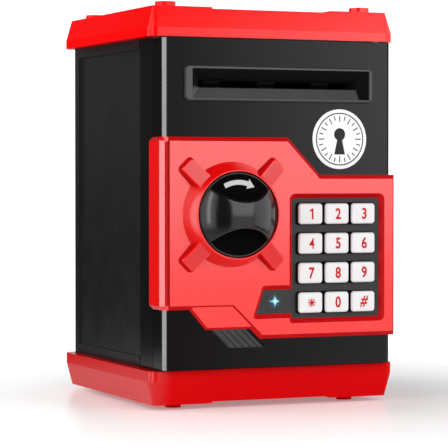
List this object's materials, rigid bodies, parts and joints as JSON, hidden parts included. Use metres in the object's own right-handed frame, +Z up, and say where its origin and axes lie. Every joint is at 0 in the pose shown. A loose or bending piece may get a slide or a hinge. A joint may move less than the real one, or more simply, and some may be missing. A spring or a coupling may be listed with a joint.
{
  "type": "electronic savings bank",
  "caption": "Square toy cash-machine money box with a hinged door, turning combination knob, number keypad, banknote feed slot and coin slot on top.",
  "frame": {"origin": "centre of the overall footprint, on the ground under the feet", "axes": "+Z up, the door and knob face -Y, +X to the right as seen from the front"},
  "size_m": [0.125, 0.1444, 0.188],
  "materials": {
    "red_plastic": "satin to gloss moulded ABS",
    "black_gloss": "glossy moulded ABS",
    "black_matte": "matt moulded plastic",
    "grey_plastic": "satin dark grey moulded plastic",
    "white_gear": "natural acetal",
    "steel": "zinc plated steel",
    "rubber": "soft rubber",
    "white_sticker": "printed film",
    "led_lens": "clear tinted lens, lit",
    "circuit_board": "solder mask on glass fibre board",
    "battery_sleeve": "plain printed sleeve",
    "key_white": "satin white keys with printed digits"
  },
  "bodies": {
    "housing": {"base": "red_plastic", "body_shell": "black_gloss", "top_cap": "red_plastic", "coin_chute": "black_matte", "door_strike": "steel", "hinge_pins": "steel", "base_screws": "steel", "cap_screws": "steel"},
    "door": {"door_panel": "black_gloss", "door_back": "grey_plastic", "fascia": "red_plastic", "badge": "white_sticker", "slot_bezel": "grey_plastic", "keypad_bezel": "grey_plastic", "led_lens": "led_lens", "status_led": "led_lens", "key_membrane": "rubber", "circuit_board": "circuit_board", "note_guide": "black_matte", "motor": "steel", "speaker": "black_matte", "battery_tray": "black_matte", "batteries": "battery_sleeve", "battery_contacts": "steel", "battery_cover": "grey_plastic", "cover_screw": "steel", "lock_solenoid": "steel", "door_screws": "steel", "bolt_guides": "grey_plastic"},
    "knob": {"knob": "black_gloss", "knob_shaft": "steel", "latch_pinion": "white_gear", "knob_marking": "white_sticker"},
    "bolt": {"latch_bolt": "steel"},
    "plunger": {"lock_plunger": "steel"},
    "feed": {"feed_shaft": "steel", "feed_rollers": "rubber", "feed_gear": "white_gear"},
    "pinch": {"pinch_shaft": "steel", "pinch_rollers": "grey_plastic"},
    "motor_rotor": {"motor_pinion": "white_gear"},
    "reset": {"reset_button": "red_plastic"},
    "key_1_body": {"key_1": "key_white"},
    "key_2_body": {"key_2": "key_white"},
    "key_3_body": {"key_3": "key_white"},
    "key_4_body": {"key_4": "key_white"},
    "key_5_body": {"key_5": "key_white"},
    "key_6_body": {"key_6": "key_white"},
    "key_7_body": {"key_7": "key_white"},
    "key_8_body": {"key_8": "key_white"},
    "key_9_body": {"key_9": "key_white"},
    "key_star_body": {"key_star": "key_white"},
    "key_0_body": {"key_0": "key_white"},
    "key_hash_body": {"key_hash": "key_white"}
  },
  "joints": [
    {"name": "door_hinge", "type": "hinge", "parent": "housing", "child": "door", "pos_m": [0.054, -0.0436, 0.0945], "axis": [0, 0, 1], "range_deg": [0, 90]},
    {"name": "knob_turn", "type": "hinge", "parent": "door", "child": "knob", "pos_m": [-0.025, -0.0541, 0.09], "axis": [0, -1, 0], "range_deg": [0, 90]},
    {"name": "bolt_slide", "type": "slide", "parent": "door", "child": "bolt", "axis": [-1, 0, 0], "range_m": [0, 0.00707]},
    {"name": "plunger_slide", "type": "slide", "parent": "door", "child": "plunger", "axis": [0, 0, 1], "range_m": [0, 0.003], "stiffness_N_per_m": 40},
    {"name": "feed_spin", "type": "hinge", "parent": "door", "child": "feed", "pos_m": [0, -0.0348, 0.1449], "axis": [1, 0, 0], "continuous": true},
    {"name": "pinch_spin", "type": "hinge", "parent": "door", "child": "pinch", "pos_m": [0, -0.0348, 0.1541], "axis": [1, 0, 0], "continuous": true},
    {"name": "rotor_spin", "type": "hinge", "parent": "door", "child": "motor_rotor", "pos_m": [0.042, -0.0348, 0.1302], "axis": [1, 0, 0], "continuous": true},
    {"name": "reset_press", "type": "slide", "parent": "door", "child": "reset", "axis": [0, -1, 0], "range_m": [0, 0.0008], "stiffness_N_per_m": 400},
    {"name": "key_1_press", "type": "slide", "parent": "door", "child": "key_1_body", "axis": [0, 1, 0], "range_m": [0, 0.0012], "stiffness_N_per_m": 400},
    {"name": "key_2_press", "type": "slide", "parent": "door", "child": "key_2_body", "axis": [0, 1, 0], "range_m": [0, 0.0012], "stiffness_N_per_m": 400},
    {"name": "key_3_press", "type": "slide", "parent": "door", "child": "key_3_body", "axis": [0, 1, 0], "range_m": [0, 0.0012], "stiffness_N_per_m": 400},
    {"name": "key_4_press", "type": "slide", "parent": "door", "child": "key_4_body", "axis": [0, 1, 0], "range_m": [0, 0.0012], "stiffness_N_per_m": 400},
    {"name": "key_5_press", "type": "slide", "parent": "door", "child": "key_5_body", "axis": [0, 1, 0], "range_m": [0, 0.0012], "stiffness_N_per_m": 400},
    {"name": "key_6_press", "type": "slide", "parent": "door", "child": "key_6_body", "axis": [0, 1, 0], "range_m": [0, 0.0012], "stiffness_N_per_m": 400},
    {"name": "key_7_press", "type": "slide", "parent": "door", "child": "key_7_body", "axis": [0, 1, 0], "range_m": [0, 0.0012], "stiffness_N_per_m": 400},
    {"name": "key_8_press", "type": "slide", "parent": "door", "child": "key_8_body", "axis": [0, 1, 0], "range_m": [0, 0.0012], "stiffness_N_per_m": 400},
    {"name": "key_9_press", "type": "slide", "parent": "door", "child": "key_9_body", "axis": [0, 1, 0], "range_m": [0, 0.0012], "stiffness_N_per_m": 400},
    {"name": "key_star_press", "type": "slide", "parent": "door", "child": "key_star_body", "axis": [0, 1, 0], "range_m": [0, 0.0012], "stiffness_N_per_m": 400},
    {"name": "key_0_press", "type": "slide", "parent": "door", "child": "key_0_body", "axis": [0, 1, 0], "range_m": [0, 0.0012], "stiffness_N_per_m": 400},
    {"name": "key_hash_press", "type": "slide", "parent": "door", "child": "key_hash_body", "axis": [0, 1, 0], "range_m": [0, 0.0012], "stiffness_N_per_m": 400}
  ],
  "couplings": [
    {"joint": "bolt_slide", "follows": "knob_turn", "m_per_rad": 0.0045},
    {"joint": "pinch_spin", "follows": "feed_spin", "ratio": -1.25},
    {"joint": "rotor_spin", "follows": "feed_spin", "ratio": -3.2}
  ]
}
